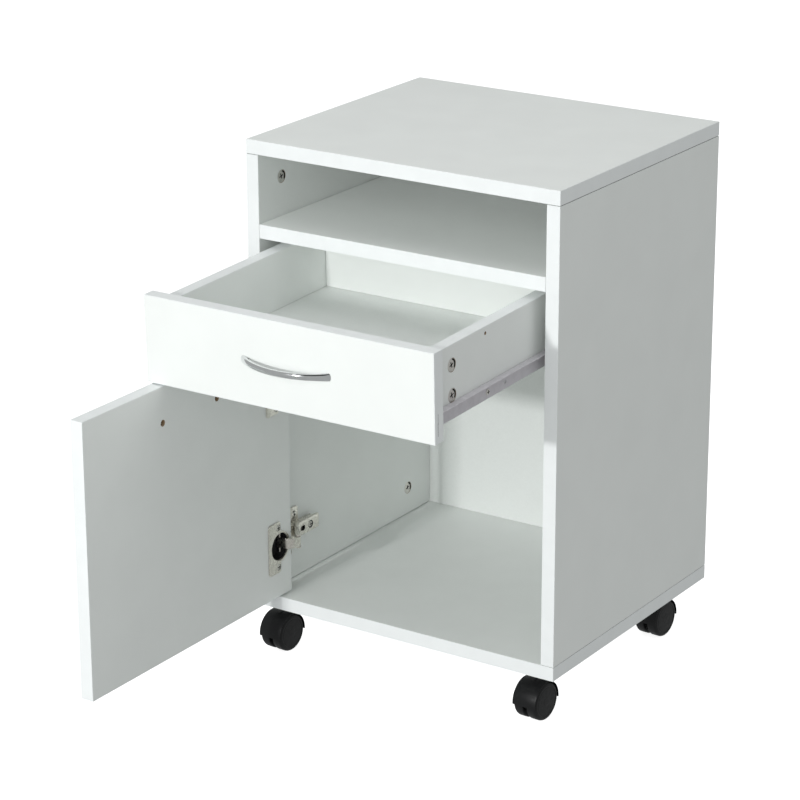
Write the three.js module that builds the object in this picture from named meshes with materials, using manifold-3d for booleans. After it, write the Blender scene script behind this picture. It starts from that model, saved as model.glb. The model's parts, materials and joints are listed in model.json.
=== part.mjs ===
// Rolling pedestal cabinet: a white board cabinet with an open niche, a drawer on roller slides, a
// cupboard door on two concealed cup hinges and four twin-wheel swivel casters.
// It stands with the drawer pulled out and the door open at a right angle.
// Millimetres, X to the right, Y towards the back, Z up, with the floor at z = 0.

import * as THREE from 'three';
import { mergeVertices } from 'three/addons/utils/BufferGeometryUtils.js';
import Module from 'manifold-3d';

const wasm = await Module();
wasm.setup();

// ---------------------------------------------------------------- driving dimensions

const width = 400;
const depth = 350;
const bodyHeight = 552;
const board = 16;
const backBoard = 3;
const casterHeight = 55;
const gap = 0.3;              // between two pieces that touch
const past = 1;               // how far a cutting shape runs past the face it opens
const reveal = 2.5;           // round the drawer front and the door

const under = casterHeight;   // underside of the bottom panel
const shelfTop = under + 457;
const top = under + bodyHeight;
const halfWidth = width / 2;
const innerHalf = halfWidth - board;

const camRadius = 7.3;        // cam locks that draw the boards together
const camDepth = 12;
const camInset = 34;          // from the end of the board
const camRows = [44, 298];    // distances behind the front edge
const rebateWidth = board / 2;

// Drawer, given closed and level; it is then drawn out and tips in its rollers
const pullOut = 209;
const tip = THREE.MathUtils.degToRad(1.6);
const frontBottom = under + 340.9;
const frontTop = under + 438.7;
const boxBoard = 15;
const boxHalf = innerHalf - 12.5;
const boxBottom = under + 353.5;
const boxTop = under + 432;
const boxLength = 297;
const drawerFloor = 3;
const drawerFloorTop = under + 365.5;
const floorGroove = 8;        // how deep the floor sits in the sides
const frontGroove = 6;        // and in the front
const drawerCams = { behindFront: 32, belowTop: { upper: 22, lower: 54.5 } };

// Roller slides
const sheet = 1.2;
const slideLength = 297;
const runnerTop = under + 371;
const runnerBottom = boxBottom - gap - sheet;
const channelBottom = under + 349.5;
const channelTop = under + 367.2;
const channelReach = 9.2;
const ledgeWidth = 9;         // under the drawer's side
const rollerOpening = 3;      // between the front roller and the channel's upper flange
const frontRollerRadius = 7.7;
const frontRollerY = 10 + board;
const frontRollerZ = runnerTop - sheet - gap - frontRollerRadius;
const rearRollerRadius = 5.8;
const rearRollerY = board + slideLength - 9;
const rearRollerZ = channelBottom + sheet + gap + rearRollerRadius;
const rollerWidth = 6.5;
const pinRadius = 2;
const frontPinLength = 8.4;
const rearPinLength = 8.6;

// Door, given closed; it is then turned open about the pins of its two hinges
const doorBottom = under + 18.5;
const doorTop = under + 332.8;
const doorLeft = -innerHalf + 3;
const doorRight = innerHalf - 2;
const pivotX = -halfWidth + 30.5;
const pivotY = 8;
const hingeRows = [{ name: 'lower', z: under + 80 }, { name: 'upper', z: under + 272 }];
const hingePin = 1.5;
const pinSlack = 0.4;

const cup = { x: doorLeft + 23, radius: 17.3, depth: 12.5, wall: 1, flange: 1.5, lip: 1.1, pinLength: 23.6 };
const screwPlate = { width: 21.5, halfHeight: 31, thickness: 1.4, opening: cup.radius - cup.wall + 0.5 };
const knuckle = { x: -halfWidth + 47, y: 22 };    // the arm's own pin
const link = { eye: 2.9, halfHeight: 6 };
const arm = { tipRadius: 3.6, halfHeight: 8.5, thickness: 4, crank: 45, end: 90 };
const wings = { halfHeight: 25, thickness: 2.2, ends: [46, 62] };
const saddle = { top: 8.2, halfHeight: 7, ends: [40, 86] };

// Bow handles
const handleLength = 113;
const handleReach = 20;
const handleGrip = 5.5;
const handleHeight = 9;
const handleHoles = 96;
const handleFoot = 7;
const screwHoleRadius = 2.2;
const counterboreRadius = 3.75;
const counterboreDepth = 5;
const doorHandleDrop = 41;  // below the top edge of the door

// Casters
const casterX = 171;
const casterY = [39, depth - 39];
const trail = 24;
const casterTurn = THREE.MathUtils.degToRad(-3.8);
const wheelRadius = 22;
const wheelWidth = 12.4;
const webWidth = 4.6;
const hoodRadius = 23.3;
const hoodWall = 0.9;
const axleRadius = 2.5;
const webRadius = 16;
const cheekWidth = 12;
const stemRadius = 4;
const stemHoleDepth = board - 3;
const stemEngaged = board - 4;
const hub = { radius: 9, bottom: 38.6, top: 51.5, floor: 1.5 };
const tread = { innerEdge: 1, outerEdge: 2, boreEnd: 1.8 };

// ---------------------------------------------------------------- materials

function finish(color, roughness, metalness = 0) {
  return new THREE.MeshStandardMaterial({ color, roughness, metalness });
}

const melamine = finish(0xeef1f0, 0.42);
const hardboard = finish(0xe6e8e5, 0.5);
const zinc = finish(0xb9b4a6, 0.35, 0.9);
const nickel = finish(0xa8a499, 0.3, 0.95);
const chrome = finish(0xd8dadb, 0.12, 1);
const powderCoat = finish(0xb9b5ba, 0.5, 0.2);
const whiteNylon = finish(0xe9e7e0, 0.55);
const blackNylon = finish(0x1d1e20, 0.45);

// ---------------------------------------------------------------- shapes

const X = new THREE.Vector3(1, 0, 0);
const Y = new THREE.Vector3(0, 1, 0);
const Z = new THREE.Vector3(0, 0, 1);

function prism(shape, length) {
  return new THREE.ExtrudeGeometry(shape, { depth: length, bevelEnabled: false, curveSegments: 12 });
}

// Outline in X and Y, standing from z0 up to z1
function alongZ(shape, z0, z1) {
  return prism(shape, z1 - z0).translate(0, 0, z0);
}

// Outline in Y and Z, running from x0 to x1
function alongX(shape, x0, x1) {
  const turn = new THREE.Matrix4().makeBasis(Y, Z, X);
  return prism(shape, x1 - x0).applyMatrix4(turn).translate(x0, 0, 0);
}

function block([x0, x1], [y0, y1], [z0, z1]) {
  const box = new THREE.BoxGeometry(Math.abs(x1 - x0), y1 - y0, z1 - z0);
  return box.translate((x0 + x1) / 2, (y0 + y1) / 2, (z0 + z1) / 2);
}

// Round bar along an axis, centred at a point
function bar(axis, [x, y, z], radius, length, sides = 20) {
  const turn = new THREE.Quaternion().setFromUnitVectors(Y, axis);
  const rod = new THREE.CylinderGeometry(radius, radius, length, sides);
  return rod.applyQuaternion(turn).translate(x, y, z);
}

function toSolid(geometry) {
  const bare = geometry.clone();
  bare.deleteAttribute('normal');
  bare.deleteAttribute('uv');
  const merged = mergeVertices(bare, 1e-4);
  return new wasm.Manifold(new wasm.Mesh({
    numProp: 3,
    vertProperties: new Float32Array(merged.attributes.position.array),
    triVerts: new Uint32Array(merged.index.array),
  }));
}

function toGeometry(solid) {
  const { vertProperties, triVerts } = solid.getMesh();
  const geometry = new THREE.BufferGeometry();
  geometry.setAttribute('position', new THREE.BufferAttribute(vertProperties, 3));
  geometry.setIndex(new THREE.BufferAttribute(triVerts, 1));
  geometry.computeVertexNormals();
  return geometry;
}

function join(...pieces) {
  return toGeometry(pieces.map(toSolid).reduce((whole, piece) => whole.add(piece)));
}

function cut(piece, ...tools) {
  return toGeometry(tools.map(toSolid).reduce((rest, tool) => rest.subtract(tool), toSolid(piece)));
}

// ---------------------------------------------------------------- scene graph

const cabinet = new THREE.Group();

function place(parent, name, geometry, material) {
  const mesh = new THREE.Mesh(geometry, material);
  mesh.name = name;
  parent.add(mesh);
  return mesh;
}

const sides = [{ name: 'left', sign: -1 }, { name: 'right', sign: 1 }];

// A span in X measured outwards from the middle of the cabinet, on either side
function across(sign, near, far) {
  return sign > 0 ? [near, far] : [-far, -near];
}

// ---------------------------------------------------------------- carcass

const sideBottom = under + board + gap;
const sideTop = top - board - gap;

function camPlaces() {
  const ends = [{ name: 'bottom', z: under + board + camInset }, { name: 'top', z: top - board - camInset }];
  const rows = [{ name: 'front', y: camRows[0] }, { name: 'rear', y: camRows[1] }];
  return ends.flatMap((end) => rows.map((row) => ({ name: `${end.name}_${row.name}`, y: row.y, z: end.z })));
}

// Round pocket, a little wider and deeper than the cam lock in it
function camPocket(sign, faceX, y, z) {
  const middle = faceX + sign * (camDepth - gap) / 2;
  return bar(X, [middle, y, z], camRadius + gap, camDepth + 3 * gap);
}

function addCam(parent, name, sign, faceX, y, z) {
  place(parent, name, bar(X, [faceX + sign * camDepth / 2, y, z], camRadius, camDepth), zinc);
}

function addCarcass() {
  place(cabinet, 'top_panel', block([-halfWidth, halfWidth], [0, depth], [top - board, top]), melamine);
  const stemHoles = casterY.flatMap((y) => [-casterX, casterX].map(
    (x) => bar(Z, [x, y, under], stemRadius + gap, 2 * stemHoleDepth, 16)));
  const floorPanel = block([-halfWidth, halfWidth], [0, depth], [under, under + board]);
  place(cabinet, 'bottom_panel', cut(floorPanel, ...stemHoles), melamine);

  for (const { name, sign } of sides) {
    const slab = block(across(sign, innerHalf, halfWidth), [0, depth], [sideBottom, sideTop]);
    const rebate = block(
      across(sign, innerHalf - past, innerHalf + rebateWidth),
      [depth - backBoard - 2 * gap, depth + past], [sideBottom - past, sideTop + past]);
    const pockets = camPlaces().map(({ y, z }) => camPocket(sign, sign * innerHalf, y, z));
    place(cabinet, `${name}_side_panel`, cut(slab, rebate, ...pockets), melamine);
    for (const { name: spot, y, z } of camPlaces()) {
      addCam(cabinet, `${name}_cam_lock_${spot}`, sign, sign * innerHalf, y, z);
    }
  }

  const shelfSpan = [-innerHalf + gap, innerHalf - gap];
  const shelfBack = depth - backBoard - 3 * gap;
  place(cabinet, 'fixed_shelf', block(shelfSpan, [0, shelfBack], [shelfTop - board, shelfTop]), melamine);

  const backHalf = innerHalf + rebateWidth - gap;
  place(cabinet, 'back_panel',
    block([-backHalf, backHalf], [depth - backBoard - gap, depth - gap], [sideBottom, sideTop]), hardboard);
}

// ---------------------------------------------------------------- bow handle

// Crescent between two arcs, seen from above: feet on y = 0, the grip reaching towards -Y
function crescent() {
  const half = handleLength / 2;
  const innerHalfSpan = half - handleFoot;
  const innerReach = handleReach - handleGrip;
  const arc = (span, reach) => (span * span + reach * reach) / (2 * reach);
  const outer = arc(half, handleReach);
  const inner = arc(innerHalfSpan, innerReach);
  const outerSweep = Math.asin(half / outer);
  const innerSweep = Math.asin(innerHalfSpan / inner);
  const shape = new THREE.Shape();
  const down = -Math.PI / 2;
  shape.absarc(0, outer - handleReach, outer, down - outerSweep, down + outerSweep, false);
  shape.absarc(0, inner - innerReach, inner, down + innerSweep, down - innerSweep, true);
  return shape;
}

function bowHandle(y, z) {
  return alongZ(crescent(), -handleHeight / 2, handleHeight / 2).translate(0, y - gap, z);
}

// Counterbored screw holes through a front board of the given inner face
function handleHolesAt(x, z, innerFaceY) {
  return [-handleHoles / 2, handleHoles / 2].flatMap((offset) => [
    bar(Y, [x + offset, innerFaceY - board / 2, z], screwHoleRadius, board + 2 * past, 12),
    bar(Y, [x + offset, innerFaceY, z], counterboreRadius, 2 * counterboreDepth, 16),
  ]);
}

// ---------------------------------------------------------------- roller slides

const memberOuter = innerHalf - gap;             // cabinet member's back
const runnerInner = boxHalf + gap;               // drawer member's back
const rollerMiddle = (runnerInner + memberOuter) / 2;

function cabinetMember(sign) {
  const webInner = memberOuter - sheet;
  const flange = across(sign, memberOuter - channelReach, memberOuter);
  const ends = [board + past, board + slideLength];
  const web = block(across(sign, webInner, memberOuter), ends, [channelBottom, channelTop]);
  const lower = block(flange, ends, [channelBottom, channelBottom + sheet]);
  const upperEnds = [frontRollerY + frontRollerRadius + rollerOpening, ends[1]];
  const upper = block(flange, upperEnds, [channelTop - sheet, channelTop]);
  return join(web, lower, upper);
}

function drawerMember(sign) {
  const webOuter = runnerInner + sheet;
  const ends = [board + gap, board + slideLength];
  const web = block(across(sign, runnerInner, webOuter), ends, [runnerBottom, runnerTop]);
  const ledge = block(
    across(sign, boxHalf - ledgeWidth, webOuter), ends, [runnerBottom, runnerBottom + sheet]);
  const flangeEnd = runnerInner + channelReach;
  const flange = block(across(sign, runnerInner, flangeEnd), ends, [runnerTop - sheet, runnerTop]);
  const pinMiddle = runnerInner + (sheet + rearPinLength) / 2;
  const pin = bar(X, [sign * pinMiddle, rearRollerY, rearRollerZ], pinRadius, rearPinLength, 12);
  return join(web, ledge, flange, pin);
}

function roller(sign, y, z, radius) {
  const ring = new THREE.Shape();
  ring.absarc(y, z, radius, 0, 2 * Math.PI, false);
  const bore = new THREE.Path();
  bore.absarc(y, z, pinRadius + gap, 0, 2 * Math.PI, true);
  ring.holes.push(bore);
  const [x0, x1] = across(sign, rollerMiddle - rollerWidth / 2, rollerMiddle + rollerWidth / 2);
  return alongX(ring, x0, x1);
}

// ---------------------------------------------------------------- drawer

function addDrawer() {
  const drawer = new THREE.Group();
  const frontHalf = innerHalf - reveal;
  const middleZ = (frontBottom + frontTop) / 2;
  const floorSpan = [drawerFloorTop - drawerFloor - gap, drawerFloorTop + gap];
  const boxBack = board + boxLength;

  const front = block([-frontHalf, frontHalf], [0, board], [frontBottom, frontTop]);
  const grooveHalf = boxHalf - boxBoard + floorGroove;
  const frontSlot = block([-grooveHalf, grooveHalf], [board - frontGroove, board + past], floorSpan);
  place(drawer, 'drawer_front',
    cut(front, frontSlot, ...handleHolesAt(0, middleZ, board)), melamine);

  for (const { name, sign } of sides) {
    const wall = block(
      across(sign, boxHalf - boxBoard, boxHalf), [board + gap, boxBack], [boxBottom, boxTop]);
    const groove = block(
      across(sign, boxHalf - boxBoard - past, grooveHalf), [board, boxBack + past], floorSpan);
    const camX = sign * boxHalf;
    const camY = board + drawerCams.behindFront;
    const cams = Object.entries(drawerCams.belowTop).map(([spot, drop]) => ({ spot, z: boxTop - drop }));
    const pockets = cams.map(({ z }) => camPocket(-sign, camX, camY, z));
    place(drawer, `drawer_${name}_side`, cut(wall, groove, ...pockets), melamine);
    for (const { spot, z } of cams) {
      addCam(drawer, `drawer_${name}_cam_lock_${spot}`, -sign, camX, camY, z);
    }
    place(drawer, `${name}_drawer_runner`, drawerMember(sign), powderCoat);
    place(drawer, `${name}_rear_roller`,
      roller(sign, rearRollerY, rearRollerZ, rearRollerRadius), whiteNylon);
  }

  const backInner = boxHalf - boxBoard - gap;
  place(drawer, 'drawer_back',
    block([-backInner, backInner], [boxBack - boxBoard, boxBack], [floorSpan[1], boxTop]), melamine);
  const floorHalf = grooveHalf - gap;
  place(drawer, 'drawer_bottom',
    block([-floorHalf, floorHalf], [board - frontGroove + gap, boxBack],
      [drawerFloorTop - drawerFloor, drawerFloorTop]),
    hardboard);
  place(drawer, 'drawer_handle', bowHandle(0, middleZ), chrome);

  const tipped = new THREE.Group();
  tipped.position.set(0, frontRollerY, frontRollerZ);
  tipped.rotation.x = tip;
  drawer.position.set(0, -frontRollerY - pullOut, -frontRollerZ);
  tipped.add(drawer);
  cabinet.add(tipped);
}

function addSlides() {
  for (const { name, sign } of sides) {
    place(cabinet, `${name}_cabinet_runner`, cabinetMember(sign), powderCoat);
    const pinMiddle = memberOuter - sheet - gap - frontPinLength / 2;
    place(cabinet, `${name}_front_roller_pin`,
      bar(X, [sign * pinMiddle, frontRollerY, frontRollerZ], pinRadius, frontPinLength, 12), zinc);
    place(cabinet, `${name}_front_roller`,
      roller(sign, frontRollerY, frontRollerZ, frontRollerRadius), whiteNylon);
  }
}

// ---------------------------------------------------------------- door and hinges

const wallX = -innerHalf;

// Cup with its screw plate and the pin that the hinge link turns on
function hingeCup(z) {
  const floorY = board - cup.depth;
  const rim = board + gap;
  const inner = cup.radius - cup.wall;
  const outer = cup.radius + cup.flange;
  const profile = [
    [0, floorY], [cup.radius, floorY], [cup.radius, rim], [outer, rim],
    [outer, rim + cup.lip], [inner, rim + cup.lip], [inner, floorY + cup.wall], [0, floorY + cup.wall],
  ].map(([r, y]) => new THREE.Vector2(r, y));
  const shell = new THREE.LatheGeometry(profile, 28).translate(cup.x, 0, z);
  const plate = cut(
    block([cup.x - 1, cup.x + screwPlate.width], [rim, rim + screwPlate.thickness],
      [z - screwPlate.halfHeight, z + screwPlate.halfHeight]),
    bar(Y, [cup.x, rim, z], screwPlate.opening, 8, 28));
  const pin = bar(Z, [pivotX, pivotY, z], hingePin, cup.pinLength, 12);
  return join(shell, plate, pin);
}

// Gooseneck between the pin in the cup and the pin in the arm
function hingeLink(z) {
  const { eye, halfHeight } = link;
  const shape = new THREE.Shape();
  shape.moveTo(pivotX, pivotY - eye);
  shape.lineTo(pivotX + 7, pivotY - 1.8);
  shape.quadraticCurveTo(pivotX + 18, pivotY - 0.8, knuckle.x + eye, knuckle.y);
  shape.absarc(knuckle.x, knuckle.y, eye, 0, Math.PI, false);
  shape.quadraticCurveTo(pivotX + 13, pivotY + 2.8, pivotX + 6.5, pivotY + 2.6);
  shape.lineTo(pivotX, pivotY + eye);
  shape.absarc(pivotX, pivotY, eye, Math.PI / 2, 1.5 * Math.PI, false);
  for (const [x, y] of [[pivotX, pivotY], [knuckle.x, knuckle.y]]) {
    const hole = new THREE.Path();
    hole.absarc(x, y, hingePin + pinSlack, 0, 2 * Math.PI, true);
    shape.holes.push(hole);
  }
  return alongZ(shape, z - halfHeight, z + halfHeight);
}

// Cranked arm: flat over its mounting plate, then bent inwards to a fork that holds the link
function hingeArm(z) {
  const { tipRadius, halfHeight, thickness, crank, end } = arm;
  const underside = wallX + saddle.top + pinSlack;
  const outside = underside + thickness;
  const shape = new THREE.Shape();
  shape.moveTo(underside, end);
  shape.lineTo(underside, crank);
  shape.lineTo(knuckle.x - 2.8, knuckle.y - 2.3);
  shape.absarc(knuckle.x, knuckle.y, tipRadius, 1.22 * Math.PI, 2.25 * Math.PI, false);
  shape.lineTo(outside, crank + 3);
  shape.lineTo(outside, end);
  const forkHalf = link.halfHeight + gap;
  const fork = block(
    [knuckle.x - 7, knuckle.x + 6], [knuckle.y - 6, knuckle.y + 5], [z - forkHalf, z + forkHalf]);
  const pin = bar(Z, [knuckle.x, knuckle.y, z], hingePin, 2 * halfHeight - 1, 12);
  return join(cut(alongZ(shape, z - halfHeight, z + halfHeight), fork), pin);
}

function mountingPlate(z) {
  const back = wallX + gap;
  const flat = block(
    [back, back + wings.thickness], wings.ends, [z - wings.halfHeight, z + wings.halfHeight]);
  const ridge = block(
    [back + past, wallX + saddle.top], saddle.ends, [z - saddle.halfHeight, z + saddle.halfHeight]);
  return join(flat, ridge);
}

function addDoor() {
  const door = new THREE.Group();
  const middleX = (doorLeft + doorRight) / 2;
  const handleZ = doorTop - doorHandleDrop;
  const holeFloor = board - cup.depth - 0.5;
  const holeLength = board + past - holeFloor + 0.5;
  const cupHoles = hingeRows.map(
    ({ z }) => bar(Y, [cup.x, holeFloor + holeLength / 2, z], cup.radius + gap, holeLength, 28));
  const panel = block([doorLeft, doorRight], [0, board], [doorBottom, doorTop]);
  place(door, 'door_panel', cut(panel, ...cupHoles, ...handleHolesAt(middleX, handleZ, board)), melamine);
  place(door, 'door_handle', bowHandle(0, handleZ).translate(middleX, 0, 0), chrome);
  for (const { name, z } of hingeRows) {
    place(door, `${name}_hinge_cup`, hingeCup(z), nickel);
    place(cabinet, `${name}_hinge_link`, hingeLink(z), nickel);
    place(cabinet, `${name}_hinge_arm`, hingeArm(z), nickel);
    place(cabinet, `${name}_hinge_plate`, mountingPlate(z), nickel);
  }
  const opened = new THREE.Group();
  opened.position.set(pivotX, pivotY, 0);
  opened.rotation.z = -Math.PI / 2;
  door.position.set(-pivotX, -pivotY, 0);
  opened.add(door);
  cabinet.add(opened);
}

// ---------------------------------------------------------------- casters

const axleY = -trail;         // from the swivel axis

// Threaded stem with a collar that bears on the bottom panel
function casterStem() {
  const low = hub.bottom + 2;
  const high = under + stemEngaged;
  const collarRadius = hub.radius - 1;
  const collarBottom = hub.top + gap;
  const profile = [
    [0, low], [stemRadius, low], [stemRadius, collarBottom], [collarRadius, collarBottom],
    [collarRadius, under - gap], [stemRadius, under - gap], [stemRadius, high], [0, high],
  ].map(([r, z]) => new THREE.Vector2(r, z));
  return new THREE.LatheGeometry(profile, 16).rotateX(Math.PI / 2);
}

// Hood over the wheels, middle web with the axle, and the hub round the stem
function casterHousing() {
  const halfSpan = webWidth / 2 + gap + wheelWidth;
  const hood = new THREE.Shape();
  const from = THREE.MathUtils.degToRad(-6);
  const to = THREE.MathUtils.degToRad(186);
  hood.absarc(axleY, wheelRadius, hoodRadius, from, to, false);
  hood.absarc(axleY, wheelRadius, hoodRadius - hoodWall, to, from, true);
  const web = bar(X, [0, axleY, wheelRadius], webRadius, webWidth, 24);
  const cheek = block(
    [-webWidth / 2, webWidth / 2], [axleY - cheekWidth / 2, -1], [wheelRadius, hub.bottom + 4]);
  const axle = bar(X, [0, axleY, wheelRadius], axleRadius, webWidth + 2 * (wheelWidth - 2), 12);
  const socket = bar(Z, [0, 0, (hub.bottom + hub.top) / 2], hub.radius, hub.top - hub.bottom, 20);
  const bore = bar(Z, [0, 0, hub.top], stemRadius + gap, 2 * (hub.top - hub.bottom - hub.floor), 16);
  return cut(join(alongX(hood, -halfSpan, halfSpan), web, cheek, axle, socket), bore);
}

// Wheel with a blind bore that opens towards the web, and a plain outer face
function casterWheel(sign) {
  const bore = axleRadius + gap;
  const boreEnd = wheelWidth - tread.boreEnd;
  const profile = [
    [0, boreEnd], [bore, boreEnd], [bore, 0], [wheelRadius - tread.innerEdge, 0],
    [wheelRadius, tread.innerEdge], [wheelRadius, wheelWidth - tread.outerEdge],
    [wheelRadius - tread.outerEdge, wheelWidth], [0, wheelWidth],
  ].map(([r, x]) => new THREE.Vector2(r, x));
  const wheel = new THREE.LatheGeometry(profile, 28).rotateZ(-sign * Math.PI / 2);
  return wheel.translate(sign * (webWidth / 2 + gap), axleY, wheelRadius);
}

function addCasters() {
  const corners = casterY.flatMap((y, row) => sides.map(
    ({ name, sign }) => ({ name: `${row ? 'rear' : 'front'}_${name}`, x: sign * casterX, y })));
  for (const { name, x, y } of corners) {
    const caster = new THREE.Group();
    caster.position.set(x, y, 0);
    caster.rotation.z = casterTurn;
    place(caster, `${name}_caster_stem`, casterStem(), zinc);
    place(caster, `${name}_caster_housing`, casterHousing(), blackNylon);
    for (const { name: half, sign } of sides) {
      place(caster, `${name}_caster_${half}_wheel`, casterWheel(sign), blackNylon);
    }
    cabinet.add(caster);
  }
}

// ---------------------------------------------------------------- assembly

addCarcass();
addSlides();
addDrawer();
addDoor();
addCasters();

// The origin is on the floor, in the middle of the whole object as it stands open
const doorTip = pivotY - (doorRight - pivotX);
cabinet.position.y = -(doorTip + depth) / 2;

export default cabinet;
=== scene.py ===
import json
import math

import bmesh
import bpy
from mathutils import Matrix, Vector


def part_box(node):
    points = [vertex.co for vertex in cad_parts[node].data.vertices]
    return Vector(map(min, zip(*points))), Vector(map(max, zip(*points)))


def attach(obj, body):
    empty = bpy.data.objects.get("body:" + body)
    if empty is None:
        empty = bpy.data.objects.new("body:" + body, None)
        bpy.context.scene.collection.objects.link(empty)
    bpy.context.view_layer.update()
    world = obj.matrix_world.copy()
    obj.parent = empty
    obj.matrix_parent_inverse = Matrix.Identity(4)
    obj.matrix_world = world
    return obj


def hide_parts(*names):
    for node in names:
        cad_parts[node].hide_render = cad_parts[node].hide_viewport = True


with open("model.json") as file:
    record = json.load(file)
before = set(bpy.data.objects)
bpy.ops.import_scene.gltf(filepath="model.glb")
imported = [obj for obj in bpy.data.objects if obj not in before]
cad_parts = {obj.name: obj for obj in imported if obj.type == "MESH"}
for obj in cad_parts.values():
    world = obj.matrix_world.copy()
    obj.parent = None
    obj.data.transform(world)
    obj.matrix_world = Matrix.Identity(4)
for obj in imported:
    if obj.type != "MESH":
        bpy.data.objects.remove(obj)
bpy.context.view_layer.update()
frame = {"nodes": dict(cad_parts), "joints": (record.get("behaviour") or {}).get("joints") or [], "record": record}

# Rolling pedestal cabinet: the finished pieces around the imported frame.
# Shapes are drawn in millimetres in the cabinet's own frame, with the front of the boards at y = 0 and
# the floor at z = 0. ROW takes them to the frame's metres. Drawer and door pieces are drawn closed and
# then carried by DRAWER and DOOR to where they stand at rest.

MM = 0.001
GAP = 0.3
X = Vector((1, 0, 0))
Y = Vector((0, 1, 0))
Z = Vector((0, 0, 1))

nodes = frame["nodes"]
record = frame["record"]
joints = {joint["name"]: joint for joint in frame["joints"]}
body_of = {node: body for body, names in record["behaviour"]["bodies"].items() for node in names}
slot_of = {row["node"]: row["material_slot"] for row in record["subparts"]}

front_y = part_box("top_panel")[0][1]
ROW = Matrix.Translation((0, front_y, 0)) @ Matrix.Scale(MM, 4)


def cabinet_point(metres):
    """A point of the row frame, in millimetres in the cabinet's frame."""
    return ROW.inverted() @ Vector(metres)


def turned_about(point, rotation):
    return Matrix.Translation(point) @ rotation @ Matrix.Translation(-point)


slide_axis = Vector(joints["drawer_slide"]["axis"])
pull_out = -joints["drawer_slide"]["range_m"][0] / MM
tip = math.atan2(-slide_axis.z, -slide_axis.y)
tip_point = cabinet_point(joints["drawer_tip"]["pos_m"])
DRAWER = turned_about(tip_point, Matrix.Rotation(tip, 4, "X")) @ Matrix.Translation((0, -pull_out, 0))
hinge_point = cabinet_point(joints["door_hinge"]["pos_m"])
DOOR = turned_about(hinge_point, Matrix.Rotation(-math.pi / 2, 4, "Z"))
STILL = Matrix.Identity(4)


def local_box(node, place=STILL):
    """Lowest and highest corner of a CAD node in millimetres, before place carried it to its rest."""
    back = (ROW @ place).inverted()
    points = [back @ vertex.co for vertex in nodes[node].data.vertices]
    low = Vector([min(p[i] for p in points) for i in range(3)])
    high = Vector([max(p[i] for p in points) for i in range(3)])
    return low, high


# ------------ mesh helpers


def box(low, high, edge=0.0):
    """A box with all its edges rounded."""
    bm = bmesh.new()
    bmesh.ops.create_cube(bm, size=1)
    for vertex in bm.verts:
        vertex.co = Vector([low[i] if vertex.co[i] < 0 else high[i] for i in range(3)])
    if edge:
        bmesh.ops.bevel(bm, geom=bm.edges[:], offset=edge, segments=2, profile=0.5, affect="EDGES")
    return bm


def fillet(corners, closed=True, steps=4):
    """Corners given as (a, b) or (a, b, radius), as points with each such corner rounded."""
    points = []
    for i, corner in enumerate(corners):
        here = Vector(corner[:2])
        if len(corner) < 3 or not corner[2] or (not closed and i in (0, len(corners) - 1)):
            points.append(here)
            continue
        back = (Vector(corners[i - 1][:2]) - here).normalized()
        onward = (Vector(corners[(i + 1) % len(corners)][:2]) - here).normalized()
        half = back.angle(onward) / 2
        centre = here + (back + onward).normalized() * corner[2] / math.sin(half)
        first = here + back * corner[2] / math.tan(half) - centre
        last = here + onward * corner[2] / math.tan(half) - centre
        for k in range(steps + 1):
            points.append(centre + first.lerp(last, k / steps).normalized() * corner[2])
    return points


def circle(centre, radius, steps=32, start=0.0, end=2 * math.pi):
    """Points of a circle, or of an arc that ends on its last point."""
    whole = end - start > 2 * math.pi - 1e-6
    count = steps if whole else steps + 1
    angles = [start + (end - start) * k / steps for k in range(count)]
    return [Vector((centre[0] + radius * math.cos(a), centre[1] + radius * math.sin(a))) for a in angles]


def prism(outline, start, end, axis=Z, edge=0.0):
    """An outline pulled along an axis: (x, y) along Z, (y, z) along X or (x, z) along Y."""
    bm = bmesh.new()
    spots = {
        2: lambda a, b, c: (a, b, c),
        0: lambda a, b, c: (c, a, b),
        1: lambda a, b, c: (a, c, b),
    }
    to3 = spots[max(range(3), key=lambda i: axis[i])]
    low = [bm.verts.new(to3(p[0], p[1], start)) for p in outline]
    high = [bm.verts.new(to3(p[0], p[1], end)) for p in outline]
    caps = [bm.faces.new(low), bm.faces.new(high)]
    for i in range(len(outline)):
        j = (i + 1) % len(outline)
        bm.faces.new((low[i], low[j], high[j], high[i]))
    bmesh.ops.recalc_face_normals(bm, faces=bm.faces)
    if edge:
        rims = {e for cap in caps for e in cap.edges}
        bmesh.ops.bevel(bm, geom=list(rims), offset=edge, segments=2, profile=0.5, affect="EDGES")
    return bm


def lathe(profile, steps=48):
    """A profile of (radius, height) turned about Z."""
    bm = bmesh.new()
    rings = []
    for radius, height in profile:
        count = 1 if radius < 1e-6 else steps
        angles = [2 * math.pi * k / steps for k in range(count)]
        rings.append([bm.verts.new((radius * math.cos(a), radius * math.sin(a), height)) for a in angles])
    for a, b in zip(rings, rings[1:]):
        for k in range(steps):
            quad = (a[k % len(a)], a[(k + 1) % len(a)], b[(k + 1) % len(b)], b[k % len(b)])
            corners = list(dict.fromkeys(quad))
            if len(corners) > 2:
                bm.faces.new(corners)
    bmesh.ops.recalc_face_normals(bm, faces=bm.faces)
    return bm


def moved(bm, matrix):
    bmesh.ops.transform(bm, matrix=matrix, verts=bm.verts)
    return bm


def facing(point, normal):
    """Takes +Z to a normal and the origin to a point."""
    up = "X" if abs(normal[1]) > 0.9 else "Y"
    return Matrix.Translation(point) @ Vector(normal).to_track_quat("Z", up).to_matrix().to_4x4()


def rod(start, end, radius, steps=24, edge=0.0):
    """A round bar between two points."""
    start, end = Vector(start), Vector(end)
    length = (end - start).length
    corners = [(0, 0), (radius, 0, edge), (radius, length, edge), (0, length)]
    return moved(lathe(fillet(corners, closed=False, steps=3), steps), facing(start, end - start))


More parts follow.
